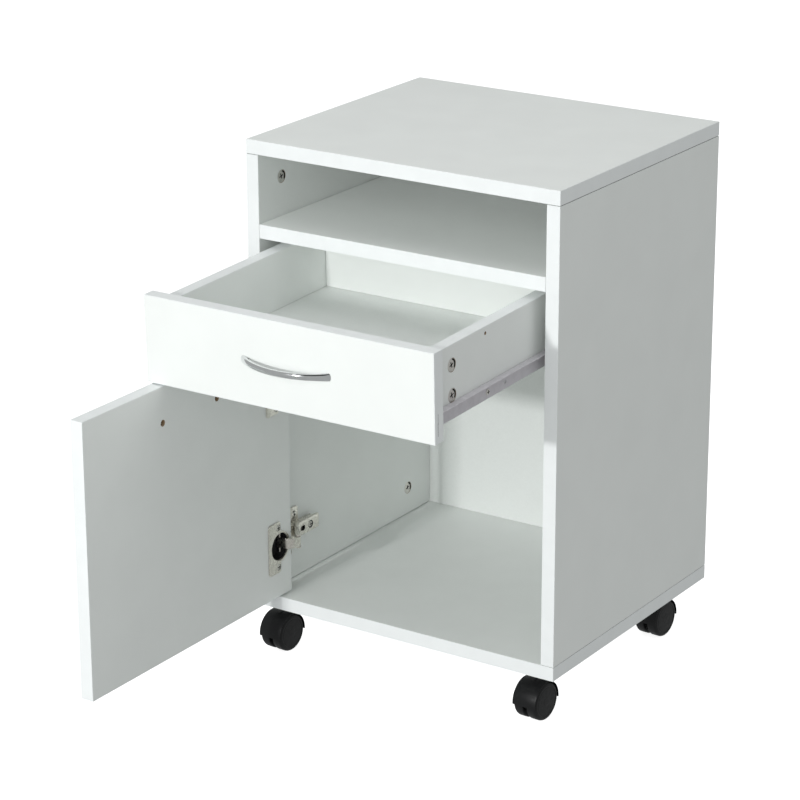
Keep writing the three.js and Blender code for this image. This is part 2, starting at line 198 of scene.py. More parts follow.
def slot(middle, half, radius):
    """The outline of a slot with rounded corners, from its middle and half its size each way."""
    (a, b), (reach_a, reach_b) = middle, half
    corners = [(-1, -1), (1, -1), (1, 1), (-1, 1)]
    return fillet([(a + u * reach_a, b + v * reach_b, radius) for u, v in corners])


def merged(*parts):
    """Several meshes as one, each staying its own shell."""
    whole = bmesh.new()
    for part in parts:
        mesh = bpy.data.meshes.new("part")
        part.to_mesh(mesh)
        part.free()
        whole.from_mesh(mesh)
        bpy.data.meshes.remove(mesh)
    return whole


def copies(bm, places):
    """One mesh repeated at each place."""
    parts = []
    for place in places:
        parts.append(moved(bm.copy(), place))
    bm.free()
    return merged(*parts)


def scratch_object(bm):
    mesh = bpy.data.meshes.new("scratch")
    bm.to_mesh(mesh)
    bm.free()
    mesh.materials.append(None)
    mesh.materials.append(None)
    thing = bpy.data.objects.new("scratch", mesh)
    bpy.context.scene.collection.objects.link(thing)
    return thing


def carve(bm, cutters, inside=0, operation="DIFFERENCE"):
    """A mesh cut by each cutter in turn. The new faces take the material numbered inside."""
    target = scratch_object(bm)
    tools = []
    for cutter in cutters:
        for face in cutter.faces:
            face.material_index = inside
        tools.append(scratch_object(cutter))
        step = target.modifiers.new("carve", "BOOLEAN")
        step.operation = operation
        step.solver = "EXACT"
        step.object = tools[-1]
    ready = target.evaluated_get(bpy.context.evaluated_depsgraph_get())
    result = bmesh.new()
    result.from_mesh(ready.to_mesh())
    ready.to_mesh_clear()
    for thing in [target, *tools]:
        mesh = thing.data
        bpy.data.objects.remove(thing)
        bpy.data.meshes.remove(mesh)
    bmesh.ops.remove_doubles(result, verts=result.verts, dist=1e-4)
    return result


def joined(*parts):
    return carve(parts[0], parts[1:], operation="UNION")


# ------------ materials


class Finish:
    """A material made of nodes, with its texture coordinates in the object's own metres."""

    def __init__(self, name, color, roughness, metallic=0.0, **sockets):
        self.color = color
        self.material = bpy.data.materials.new(name)
        self.material.use_nodes = True
        self.tree = self.material.node_tree
        self.shader = self.tree.nodes["Principled BSDF"]
        self.shader.inputs["Base Color"].default_value = (*color, 1)
        self.shader.inputs["Roughness"].default_value = roughness
        self.shader.inputs["Metallic"].default_value = metallic
        for socket, value in sockets.items():
            self.shader.inputs[socket.replace("_", " ")].default_value = value
        self.coordinates = self.tree.nodes.new("ShaderNodeTexCoord").outputs["Object"]
        self.height = None

    def link(self, a, b):
        self.tree.links.new(a, b)

    def stretched(self, scale):
        mapping = self.tree.nodes.new("ShaderNodeMapping")
        mapping.inputs["Scale"].default_value = scale
        self.link(self.coordinates, mapping.inputs["Vector"])
        return mapping.outputs["Vector"]

    def noise(self, size_mm, detail=2.0, roughness=0.5, stretch=None):
        """Noise whose features are about that many millimetres across."""
        node = self.tree.nodes.new("ShaderNodeTexNoise")
        node.inputs["Scale"].default_value = 1 / (size_mm * MM)
        node.inputs["Detail"].default_value = detail
        node.inputs["Roughness"].default_value = roughness
        self.link(self.stretched(stretch) if stretch else self.coordinates, node.inputs["Vector"])
        return node.outputs["Fac"]

    def cells(self, size_mm, stretch=None):
        """Cells about that many millimetres across."""
        node = self.tree.nodes.new("ShaderNodeTexVoronoi")
        node.inputs["Scale"].default_value = 1 / (size_mm * MM)
        self.link(self.stretched(stretch) if stretch else self.coordinates, node.inputs["Vector"])
        return node

    def gloss(self, value, low, high):
        """Roughness from low to high, as a noise value rises."""
        node = self.tree.nodes.new("ShaderNodeMapRange")
        node.inputs["From Min"].default_value = 0.35
        node.inputs["From Max"].default_value = 0.65
        node.inputs["To Min"].default_value = low
        node.inputs["To Max"].default_value = high
        self.link(value, node.inputs["Value"])
        self.link(node.outputs["Result"], self.shader.inputs["Roughness"])

    def colored(self, value, dark, light, start=0.3, end=0.7):
        """A value turned into a colour between dark and light."""
        ramp = self.tree.nodes.new("ShaderNodeValToRGB")
        ramp.color_ramp.elements[0].position = start
        ramp.color_ramp.elements[1].position = end
        ramp.color_ramp.elements[0].color = (*dark, 1)
        ramp.color_ramp.elements[1].color = (*light, 1)
        self.link(value, ramp.inputs["Fac"])
        return ramp.outputs["Color"]

    def mixed(self, factor, a, b):
        node = self.tree.nodes.new("ShaderNodeMix")
        node.data_type = "RGBA"
        self.link(factor, node.inputs["Factor"])
        self.link(a, node.inputs["A"])
        self.link(b, node.inputs["B"])
        return node.outputs["Result"]

    def paint(self, color):
        """Takes the surface colour from a node's output."""
        self.link(color, self.shader.inputs["Base Color"])

    def cloud(self, value, dark, light):
        """Paints with two shades of the finish's own colour, as a noise value rises."""
        self.paint(self.colored(value, shade(self.color, dark), shade(self.color, light)))

    def bump(self, value, depth_mm, strength):
        """Raises the surface by value; later calls add to earlier ones."""
        node = self.tree.nodes.new("ShaderNodeBump")
        node.inputs["Strength"].default_value = strength
        node.inputs["Distance"].default_value = depth_mm * MM
        self.link(value, node.inputs["Height"])
        if self.height:
            self.link(self.height, node.inputs["Normal"])
        self.height = node.outputs["Normal"]
        self.link(self.height, self.shader.inputs["Normal"])


def shade(color, factor):
    return tuple(channel * factor for channel in color)


def melamine():
    """Pearl-finish melamine: a fine even grain, a trace of orange peel and soft handling marks."""
    finish = Finish("white_melamine", (0.9, 0.928, 0.908), 0.42)
    finish.cloud(finish.noise(60, 3), 0.985, 1.012)
    finish.gloss(finish.noise(35, 5, 0.6), 0.36, 0.5)
    finish.bump(finish.noise(0.9, 3), 0.05, 0.35)
    finish.bump(finish.noise(9, 1), 0.05, 0.15)
    return finish.material


def edge_tape():
    """Plastic edge tape, a little glossier and cooler than the boards, with a fine grain."""
    finish = Finish("white_edge_tape", (0.905, 0.935, 0.935), 0.34)
    finish.cloud(finish.noise(22, 3), 0.98, 1.012)
    finish.gloss(finish.noise(14, 4), 0.28, 0.42)
    finish.bump(finish.noise(1.6, 2), 0.04, 0.3)
    return finish.material


def hardboard():
    """White lacquer over hardboard, with the faint fibre mat showing through."""
    finish = Finish("white_hardboard", (0.89, 0.92, 0.9), 0.5)
    fibres = finish.noise(2.5, 6, 0.65)
    finish.cloud(fibres, 0.975, 1.015)
    finish.gloss(finish.noise(25, 4), 0.42, 0.58)
    finish.bump(fibres, 0.08, 0.35)
    return finish.material


def chipboard():
    """Pressed wood chips, seen where a hole is drilled through the melamine."""
    finish = Finish("raw_chipboard", (0.4, 0.27, 0.15), 0.85)
    chips = finish.cells(1.6, stretch=(1, 1, 2.2))
    tone = finish.colored(chips.outputs["Distance"], (0.22, 0.13, 0.07), (0.55, 0.4, 0.25), 0.1, 0.9)
    finish.paint(finish.mixed(finish.noise(0.7, 2), tone, finish.colored(
        finish.noise(2.2, 4), (0.3, 0.19, 0.1), (0.6, 0.46, 0.3))))
    finish.bump(chips.outputs["Distance"], 0.3, 0.8)
    return finish.material


def plated(name, base, rough_low, rough_high, streak=None):
    """Plated steel or zinc: small cloudy changes in tone, fine pits and, on sheet, rolling streaks."""
    finish = Finish(name, base, rough_low, 1.0)
    finish.cloud(finish.noise(3.5, 5, 0.6), 0.9, 1.05)
    finish.gloss(finish.noise(2.2, 4, 0.6), rough_low, rough_high)
    finish.bump(finish.noise(0.5, 3), 0.03, 0.25)
    if streak:
        finish.bump(finish.noise(1.2, 2, stretch=streak), 0.04, 0.35)
    return finish.material


def chrome():
    """Bright chrome with a film of polishing haze and hairline scratches."""
    finish = Finish("bright_chrome", (0.8, 0.815, 0.82), 0.08, 1.0)
    finish.cloud(finish.noise(12, 3), 0.96, 1.03)
    finish.gloss(finish.noise(5, 5, 0.65), 0.05, 0.15)
    finish.bump(finish.noise(0.35, 2, stretch=(0.12, 1, 1)), 0.01, 0.18)
    return finish.material


def powder_coat():
    """Grey powder coat: fine orange peel and cloudy gloss."""
    finish = Finish("grey_powder_coat", (0.64, 0.62, 0.655), 0.42)
    finish.cloud(finish.noise(8, 5, 0.6), 0.93, 1.05)
    finish.gloss(finish.noise(10, 5), 0.34, 0.55)
    finish.bump(finish.noise(0.8, 2), 0.12, 0.5)
    return finish.material


def nylon(name, base, rough_low, rough_high, grain, sheen=0.5):
    """Moulded nylon: spark-eroded grain, cloudy gloss and slight greying."""
    finish = Finish(name, base, rough_low, Specular_IOR_Level=sheen)
    finish.cloud(finish.noise(7, 5, 0.6), 0.8, 1.2)
    finish.gloss(finish.noise(4, 5, 0.6), rough_low, rough_high)
    finish.bump(finish.noise(0.45, 3), grain, 0.45)
    finish.bump(finish.noise(6, 2), 0.12, 0.2)
    return finish.material


def painted_shade_and_scuff_black():
    """Near black: painted shade in screw recesses, board joints, the cut faces of the fittings and the inside of
    the hinge cups, and the real colour of the tape scuffs.
    """
    finish = Finish("painted_shade_and_scuffs", (0.02, 0.02, 0.021), 0.75, Specular_IOR_Level=0.25)
    finish.cloud(finish.noise(1.5, 3), 0.6, 1.5)
    finish.bump(finish.noise(0.6, 2), 0.05, 0.4)
    return finish.material


MATERIALS = {
    "white_board": melamine(),
    "white_hardboard": hardboard(),
    "zinc": plated("zinc_plate", (0.74, 0.72, 0.68), 0.28, 0.45),
    "nickel": plated("nickel_plate", (0.78, 0.75, 0.69), 0.22, 0.36, (1, 1, 0.15)),
    "chrome": chrome(),
    "powder_coat": powder_coat(),
    "white_nylon": nylon("white_nylon", (0.74, 0.73, 0.68), 0.45, 0.6, 0.05),
    "black_nylon": nylon("black_nylon", (0.0055, 0.0058, 0.0065), 0.34, 0.5, 0.06, 0.32),
}
TAPE = edge_tape()
CHIPS = chipboard()
PAINTED_SHADE_AND_SCUFFS = painted_shade_and_scuff_black()


# ------------ pieces


def add(name, bm, node, materials, place=STILL, smooth=None, stands=True):
    """A finished piece that rides with a CAD node's body and, unless it is an extra, stands for it."""
    mesh = bpy.data.meshes.new(name)
    bm.to_mesh(mesh)
    bm.free()
    mesh.transform(ROW @ place)
    for material in materials:
        mesh.materials.append(material)
    if smooth:
        mesh.shade_smooth()
        mesh.set_sharp_from_angle(angle=math.radians(smooth))
    piece = bpy.data.objects.new(name, mesh)
    bpy.context.scene.collection.objects.link(piece)
    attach(piece, body_of[node])
    if stands:
        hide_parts(node)
    return piece


def add_screws(node, head, spots, place=STILL):
    """The screws of a node, one copy of a head at each spot."""
    heads = copies(head, spots)
    # The faces of each head's cross recess take the near black of painted shade.
    add(f"{node}_screws", heads, node, [MATERIALS["zinc"], PAINTED_SHADE_AND_SCUFFS], place, smooth=35, stands=False)


def finish_of(node):
    return MATERIALS[slot_of[node]]


# ------------ boards

TAPE_THICK = 0.8
BOARD = 16
FACE_EDGE = 0.25
TAPE_EDGE = 0.36
SHEET_EDGE = 0.3  # of the thin panels


def board(node, taped, place=STILL, cuts=(), extra_cuts=(), trim=0.0):
    """A melamine board with edge tape on the sides named in taped, such as '-y'.

    Its cuts show chipboard, extra_cuts go through the tape too, and trim shortens both its ends in height.
    """
    low, high = local_box(node, place)
    low.z += trim
    high.z -= trim
    inner_low, inner_high = low.copy(), high.copy()
    for side in taped:
        axis = "xyz".index(side[1])
        if side[0] == "-":
            inner_low[axis] += TAPE_THICK
        else:
            inner_high[axis] -= TAPE_THICK
    core = box(inner_low, inner_high, FACE_EDGE)
    strips = []
    for order, side in enumerate(taped):
        axis = "xyz".index(side[1])
        a, b = low.copy(), high.copy()
        for earlier in taped[:order]:
            other = "xyz".index(earlier[1])
            if other != axis:
                a[other] = inner_low[other]
                b[other] = inner_high[other]
        if side[0] == "-":
            b[axis] = inner_low[axis]
        else:
            a[axis] = inner_high[axis]
        strips.append(box(a, b, TAPE_EDGE))
    if cuts or extra_cuts:
        core = carve(core, [cut() for cut in (*cuts, *extra_cuts)], inside=1)
    add(f"{node}_board", core, node, [MATERIALS["white_board"], CHIPS], place)
    if strips:
        if extra_cuts:
            strips = [carve(strip, [cut() for cut in extra_cuts]) for strip in strips]
        add(f"{node}_edge_tape", merged(*strips), node, [TAPE], place, stands=False)


CAM_RIM = 1.1
CAM_DISH = 0.45
CAM_CROSS = {"reach": 3.4, "half_width": 0.75, "floor": -2.6}
CAM_BITE = {"from_edge": 0.5, "to": 2.2, "floor": -3, "half_angles": (1.1, 0.95)}
CAM_TURN = 0.35  # how far the locked cams stand turned, in radians


def cam_pocket(node, place):
    """The hole that a cam sits in."""
    low, high = local_box(node, place)
    middle = (low + high) / 2
    start, end = (low.x - 2 * GAP, middle.y, middle.z), (high.x + 2 * GAP, middle.y, middle.z)
    return lambda: rod(start, end, (high.z - low.z) / 2 + GAP, 40)


def cam_lock(node, outward, place):
    """Zinc cam: on its face a raised rim, a cross recess and the crescent opening for the bolt."""
    low, high = local_box(node, place)
    middle = (low + high) / 2
    radius = (high.z - low.z) / 2
    depth = high.x - low.x
    face = Vector((high.x if outward > 0 else low.x, middle.y, middle.z))
    profile = fillet([
        (0, -depth), (radius, -depth, 0.6), (radius, 0, 0.5), (radius - CAM_RIM, 0, 0.1),
        (radius - CAM_RIM - 0.3, -CAM_DISH, 0.1), (0, -CAM_DISH),
    ], closed=False, steps=3)
    outer, inner = [
        circle((0, 0), radius - inset, 20, -half_angle, half_angle)
        for inset, half_angle in zip((CAM_BITE["from_edge"], CAM_BITE["to"]), CAM_BITE["half_angles"])
    ]
    bite = prism([*outer, *reversed(inner)], CAM_BITE["floor"], 1)
    # The faces cut for the cross and the crescent take the near black of painted shade.
    body = carve(lathe(profile), [*cross(**CAM_CROSS), bite], inside=1)
    moved(body, facing(face, X * outward) @ Matrix.Rotation(CAM_TURN, 4, "Z"))
    add(f"{node}_cam", body, node, [finish_of(node), PAINTED_SHADE_AND_SCUFFS], place, smooth=35)


def cross(reach, half_width, floor, top=1):
    """The two bars of a cross recess."""
    return [
        box((-reach, -half_width, floor), (reach, half_width, top)),
        box((-half_width, -reach, floor), (half_width, reach, top)),
    ]


def screw_head(radius, height, deep=0.65):
    """Domed cross-head screw, standing on z = 0."""
    dome = lathe(fillet([
        (0, 0), (radius, 0), (radius, height * 0.4, radius * 0.15), (radius * 0.55, height, radius * 0.4),
        (0, height),
    ], closed=False, steps=4), 28)
    recess = cross(radius * 0.62, radius * 0.15, height * (1 - deep), 2 * height)
    return carve(dome, recess, inside=1)


HANDLE_HOLES = 96
HANDLE_BOLT = 2.2
COUNTERBORE = 3.75
COUNTERBORE_DEPTH = 5


def handle_spots(handle, place):
    """Where a handle's two screws go through its front board, at the board's inner face."""
    low, high = local_box(handle, place)
    middle = (low + high) / 2
    face = high.y + GAP + BOARD
    return [Vector((middle.x + side * HANDLE_HOLES / 2, face, middle.z)) for side in (-1, 1)]


def handle_cuts(handle, place):
    """The two screw holes of a handle, with their counterbores."""
    cuts = []
    for spot in handle_spots(handle, place):
        cuts.append(lambda p=spot: rod(p - Y * (BOARD + 1), p + Y, HANDLE_BOLT, 16))
        cuts.append(lambda p=spot: rod(p - Y * COUNTERBORE_DEPTH, p + Y, COUNTERBORE, 32))
    return cuts


def groove_for(node, place):
    """The slot that a thin panel sits in."""
    low, high = local_box(node, place)
    slack = Vector((GAP, GAP, GAP))
    return lambda: box(low - slack, high + slack)


JOINT_TRIM = 0.4
JOINT_INSET = {"side": 0.9, "front": 3, "rear": 12}


def joint_shadows(node):
    """Painted shadow: dark strips at the ends of a side panel, set back in its joints with the top and the bottom.
    """
    low, high = local_box(node)
    low += Vector((JOINT_INSET["side"], JOINT_INSET["front"], 0))
    high -= Vector((JOINT_INSET["side"], JOINT_INSET["rear"], 0))
    thick = JOINT_TRIM + GAP
    strips = [box(low, (high.x, high.y, low.z + thick)), box((low.x, low.y, high.z - thick), high)]
    add(f"{node}_joint_shadows", merged(*strips), node, [PAINTED_SHADE_AND_SCUFFS], stands=False)


CAM_SPOTS = ("bottom_front", "bottom_rear", "top_front", "top_rear")
REBATE_PAST = 5  # how far the rebate is cut past the back panel


def carcass_boards():
    ends = ("-y", "+y", "-x", "+x")
    board("top_panel", ends)
    board("bottom_panel", ends)
    board("fixed_shelf", ("-y",))
    back_low, back_high = local_box("back_panel")
    rebate_low = back_low - Vector((GAP, GAP, REBATE_PAST))
    rebate_high = back_high + Vector((GAP, GAP + REBATE_PAST, REBATE_PAST))
    for side, sign in (("left", -1), ("right", 1)):
        panel = f"{side}_side_panel"
        cams = [f"{side}_cam_lock_{spot}" for spot in CAM_SPOTS]
        pockets = [cam_pocket(cam, STILL) for cam in cams]
        rebate = lambda: box(rebate_low, rebate_high)
        board(panel, ("-y", "+y"), cuts=pockets, extra_cuts=[rebate], trim=JOINT_TRIM)
        joint_shadows(panel)
        for cam in cams:
            cam_lock(cam, -sign, STILL)
    sheet = box(back_low, back_high, SHEET_EDGE)
    add("back_panel_sheet", sheet, "back_panel", [MATERIALS["white_hardboard"]])
    back_nails(back_low, back_high)


NAIL_SPACING = 100
NAIL_INSET = 4
SHELF_NAILS = (-90, 0, 90)
NAIL_HEAD = 2.1


def back_nails(low, high):
    """Small nails that hold the back panel in its rebate."""
    count = round((high.z - low.z) / NAIL_SPACING)
    heights = [low.z + (high.z - low.z) * (k + 0.5) / count for k in range(count)]
    spots = [(x, high.y, z) for x in (low.x + NAIL_INSET, high.x - NAIL_INSET) for z in heights]
    shelf = local_box("fixed_shelf")
    shelf_z = (shelf[0].z + shelf[1].z) / 2
    spots += [(x, high.y, shelf_z) for x in SHELF_NAILS]
    profile = [(0, -0.5), (NAIL_HEAD, -0.5), (NAIL_HEAD, 0.22, 0.2), (0, 0.25)]
    head = lathe(fillet(profile, closed=False), 20)
    nails = copies(head, [facing(Vector(spot), Y) for spot in spots])
    add("back_panel_nails", nails, "back_panel", [MATERIALS["zinc"]], smooth=40, stands=False)


# ------------ handles


BOW_GRIP = 5.5  # depth of the bow at its middle
BOW_FOOT = 7.0  # length of each foot along the board
BOW_HALF_HEIGHT = 3.4  # at its middle
BOW_FLARE = 1.1  # added at the feet
BOW_SQUARENESS = 0.85  # of its section, where 1 is an ellipse


def squared(value):
    return math.copysign(abs(value) ** BOW_SQUARENESS, value)


def bow_handle(node, place):
    """Crescent bow between two arcs, deepest at its middle, tallest at its feet."""
    steps, sides = 72, 28
    low, high = local_box(node, place)
    middle = (low + high) / 2
    half, reach = (high.x - low.x) / 2, high.y - low.y
    spans = [(half, reach), (half - BOW_FOOT, reach - BOW_GRIP)]
    arcs = []
    for span, rise in spans:
        radius = (span * span + rise * rise) / (2 * rise)
        arcs.append((radius, rise, math.asin(span / radius)))
    bm = bmesh.new()
    rings = []
    for i in range(steps + 1):
        along = 2 * i / steps - 1
        far, near = [
            Vector((radius * math.sin(along * sweep), radius - rise - radius * math.cos(along * sweep)))
            for radius, rise, sweep in arcs
        ]
        centre, reach_half = (far + near) / 2, (far - near) / 2
        tall = BOW_HALF_HEIGHT + BOW_FLARE * abs(along) ** 3
        ring = []
        for k in range(sides):
            angle = 2 * math.pi * k / sides
            p = centre + reach_half * squared(math.cos(angle))
            z = middle.z + tall * squared(math.sin(angle))
            ring.append(bm.verts.new((middle.x + p.x, high.y + p.y, z)))
        rings.append(ring)
    for a, b in zip(rings, rings[1:]):
        for k in range(sides):
            bm.faces.new((a[k], a[(k + 1) % sides], b[(k + 1) % sides], b[k]))
    bm.faces.new(rings[0])
    bm.faces.new(rings[-1])
    bmesh.ops.recalc_face_normals(bm, faces=bm.faces)
    add(f"{node}_bow", bm, node, [finish_of(node)], place, smooth=50)
    spots = [spot - Y * COUNTERBORE_DEPTH for spot in handle_spots(node, place)]
    add_screws(node, screw_head(3.3, 1.9), [facing(spot, Y) for spot in spots], place)


# ------------ drawer and its slides

SHEET = 1.2
RUNNER_LIP = 9  # how far a drawer runner reaches under the drawer, and out over the rollers
RUNNER_HOLE = 2.2
RUNNER_SLOT = (5, 2.1)  # half its length and height
DRAWER_RUNNER_HOLES = (148, 232)
DRAWER_RUNNER_SCREWS = (113, 266)
CABINET_RUNNER_SLOTS = (96, 165, 250)
CABINET_RUNNER_SCREWS = (58, 128, 284)
ROLLER_CLEARANCE = 3
ROLLER_BORE = 2.3
ROLLER_RIM = 1.5
REAR_PIN = 2
REAR_RIVET = 3.4


def channel(corners, sign, start, end):
    """A bent sheet section of (distance from the middle, height), on the side given by sign."""
    return prism([(sign * p[0], p[1]) for p in fillet(corners)], start, end, Y, 0.2)


def drawer_slide(side, sign):
    """The runner under a drawer side, with the pin of its rear roller and its screws."""
    node = f"{side}_drawer_runner"
    low, high = local_box(node, DRAWER)
    side_low, side_high = local_box(f"drawer_{side}_side", DRAWER)
    near = max(abs(side_low.x), abs(side_high.x)) + GAP
    ledge = near - GAP - RUNNER_LIP
    flange = near + RUNNER_LIP
    bottom, top = low.z, high.z
    member = channel([
        (ledge, bottom), (near + SHEET, bottom, 1.6), (near + SHEET, top - SHEET, 0.3),
        (flange, top - SHEET, 0.3), (flange, top, 0.3), (near, top, 1.4), (near, bottom + SHEET, 0.4),
        (ledge, bottom + SHEET),
    ], sign, low.y, high.y)
    web_z = (bottom + top) / 2 - 1
    member = carve(member, [
        rod((sign * (near - 3), y, web_z), (sign * (near + 3), y, web_z), RUNNER_HOLE, 20)
        for y in DRAWER_RUNNER_HOLES
    ])
    add(f"{side}_drawer_runner_channel", member, node, [finish_of(node)], DRAWER)

    axle_low, axle_high = local_box(f"{side}_rear_roller", DRAWER)
    axle_y, axle_z = (axle_low.y + axle_high.y) / 2, (axle_low.z + axle_high.z) / 2
    pin_end = max(abs(axle_low.x), abs(axle_high.x))
    bars = [
        rod((sign * start, axle_y, axle_z), (sign * end, axle_y, axle_z), radius, 20, 0.4)
        for start, end, radius in ((near, pin_end, REAR_PIN), (near + 0.8, near + 1.9, REAR_RIVET))
    ]
    add(f"{side}_rear_roller_pin", merged(*bars), node, [MATERIALS["zinc"]], DRAWER, smooth=40, stands=False)
    spots = [Vector((sign * (near + SHEET), y, web_z)) for y in DRAWER_RUNNER_SCREWS]
    add_screws(node, screw_head(3.4, 1.3), [facing(spot, X * sign) for spot in spots], DRAWER)


def cabinet_slide(side, sign):
    """The runner on a side panel, open at the top over its front roller, with slots and screws."""
    node = f"{side}_cabinet_runner"
    low, high = local_box(node)
    back = max(abs(low.x), abs(high.x))
    near = min(abs(low.x), abs(high.x))
    bottom, top = low.z, high.z
    member = channel([
        (near, bottom, 0.4), (back, bottom, 1.5), (back, top, 1.5), (near, top, 0.4),
        (near, top - SHEET, 0.4), (back - SHEET, top - SHEET, 0.5), (back - SHEET, bottom + SHEET, 0.5),
        (near, bottom + SHEET, 0.4),
    ], sign, low.y, high.y)
    opening_end = local_box(f"{side}_front_roller")[1].y + ROLLER_CLEARANCE
    start, end = sorted((sign * (near - 1), sign * (back - SHEET)))
    clear = box((start, low.y - 1, top - 3), (end, opening_end, top + 1))
    web_z = (bottom + top) / 2
    start, end = sorted((sign * (back - 4), sign * (back + 2)))
    slots = [prism(slot((y, web_z), RUNNER_SLOT, 2), start, end, X) for y in CABINET_RUNNER_SLOTS]
    member = carve(member, [clear, *slots])
    add(f"{side}_cabinet_runner_channel", member, node, [finish_of(node)])
    spots = [Vector((sign * (back - SHEET), y, web_z)) for y in CABINET_RUNNER_SCREWS]
    add_screws(node, screw_head(3.4, 1.0), [facing(spot, X * -sign) for spot in spots])


def roller(node, place):
    """Nylon roller with a crowned tread and a recessed face on each side."""
    low, high = local_box(node, place)
    middle = (low + high) / 2
    radius, wide = (high.z - low.z) / 2, high.x - low.x
    bore = ROLLER_BORE
    rim = radius - ROLLER_RIM
    profile = fillet([
        (bore, 0), (bore + 1.2, 0, 0.2), (bore + 1.5, 0.5, 0.2), (rim - 0.3, 0.5, 0.2), (rim, 0, 0.2),
        (radius, 0, 0.7), (radius, wide, 0.7), (rim, wide, 0.2), (rim - 0.3, wide - 0.5, 0.2),
        (bore + 1.5, wide - 0.5, 0.2), (bore + 1.2, wide, 0.2), (bore, wide),
    ], steps=3)
    profile.append(profile[0])
    tread = moved(lathe(profile, 40), facing(Vector((low.x, middle.y, middle.z)), X))
    bmesh.ops.remove_doubles(tread, verts=tread.verts, dist=1e-4)
    add(f"{node}_tread", tread, node, [finish_of(node)], place, smooth=35)


def roller_pin(side):
    node = f"{side}_front_roller_pin"
    low, high = local_box(node)
    middle = (low + high) / 2
    pin = rod((low.x, middle.y, middle.z), (high.x, middle.y, middle.z), (high.z - low.z) / 2, 24, 0.4)
    add(f"{node}_rod", pin, node, [finish_of(node)], smooth=40)


SIDE_HOLE = {"y": 112, "below_top": 7.5, "radius": 1.9}
SCUFFS = (((5.6, 8), (6.1, 22)), ((6.0, 21), (6.4, 32)))  # corners as depth and height on the tape


def drawer_scuffs():
    """Two thin dark scuffs on the edge tape at the right end of the drawer front."""
    low, high = local_box("drawer_front", DRAWER)
    scuffs = [
        box((high.x - 0.4, near, low.z + lower), (high.x + 0.02, far, low.z + upper))
        for (near, lower), (far, upper) in SCUFFS
    ]
    add("drawer_front_tape_scuffs", merged(*scuffs), "drawer_front", [PAINTED_SHADE_AND_SCUFFS], DRAWER, stands=False)


def drawer_side(side, sign, floor):
    """A drawer side with its two cams, its small hole and the groove for the drawer's bottom."""
    node = f"drawer_{side}_side"
    cams = [f"drawer_{side}_cam_lock_{spot}" for spot in ("upper", "lower")]
    low, high = local_box(node, DRAWER)
    face = sign * max(abs(low.x), abs(high.x))
    y, z = SIDE_HOLE["y"], high.z - SIDE_HOLE["below_top"]
    hole = lambda: rod((face - sign * 9, y, z), (face + sign, y, z), SIDE_HOLE["radius"], 16)
    cuts = [*[cam_pocket(cam, DRAWER) for cam in cams], floor, hole]
    board(node, ("+z",), DRAWER, cuts=cuts)
    for cam in cams:
        cam_lock(cam, sign, DRAWER)


def drawer():
    floor = groove_for("drawer_bottom", DRAWER)
    ring = ("-z", "+z", "-x", "+x")
    board("drawer_front", ring, DRAWER, cuts=[*handle_cuts("drawer_handle", DRAWER), floor])
    drawer_scuffs()
    for side, sign in (("left", -1), ("right", 1)):
        drawer_side(side, sign, floor)
        drawer_slide(side, sign)
        cabinet_slide(side, sign)
        roller(f"{side}_front_roller", STILL)
        roller(f"{side}_rear_roller", DRAWER)
        roller_pin(side)
    board("drawer_back", ("+z",), DRAWER)
    sheet = box(*local_box("drawer_bottom", DRAWER), SHEET_EDGE)
    add("drawer_bottom_sheet", sheet, "drawer_bottom", [MATERIALS["white_hardboard"]], DRAWER)
    bow_handle("drawer_handle", DRAWER)


# ------------ door and hinges

SIDE_FACE = -184  # inner face of the left side panel
HINGE_CUP_X = -158
CUP_RADIUS = 17.3
CUP_WALL = 1
CUP_RIM = 1.5
CUP_PLATE = 1.4
CUP_SCREW = (3.5, 24)  # across and up from the middle of the cup
CUP_PIN_HALF = 11.8
PAINTED_SHADE_LINER_WALL = 0.25
KNUCKLE = Vector((-153, 22))
PIN = 1.5
LINK_EYE = 2.9
LINK_HALF = 6
ARM_STANDOFF = 8.6
ARM_THICK = 4
ARM_END = 90
ARM_SCREW_Y = 73
ARM_DISH = (4.7, 0.9)  # radius and depth
ARM_WINDOW = {"y": 57.5, "half": (4.5, 3.2)}
CAM_SCREW = {"y": 55.5, "depth": 2.7, "scale": 0.7}
WING = (46, 62)
WING_THICK = 2.2
WING_SCREW = (54, 16)  # its y, and up or down from the middle
WING_SLOT_HALF = (2.5, 4.5)
RIDGE = {"y": (40, 86), "half": 7}


def hinge_middle(row):
    """Height of a hinge's middle."""
    low, high = local_box(f"{row}_hinge_arm")
    return (low.z + high.z) / 2


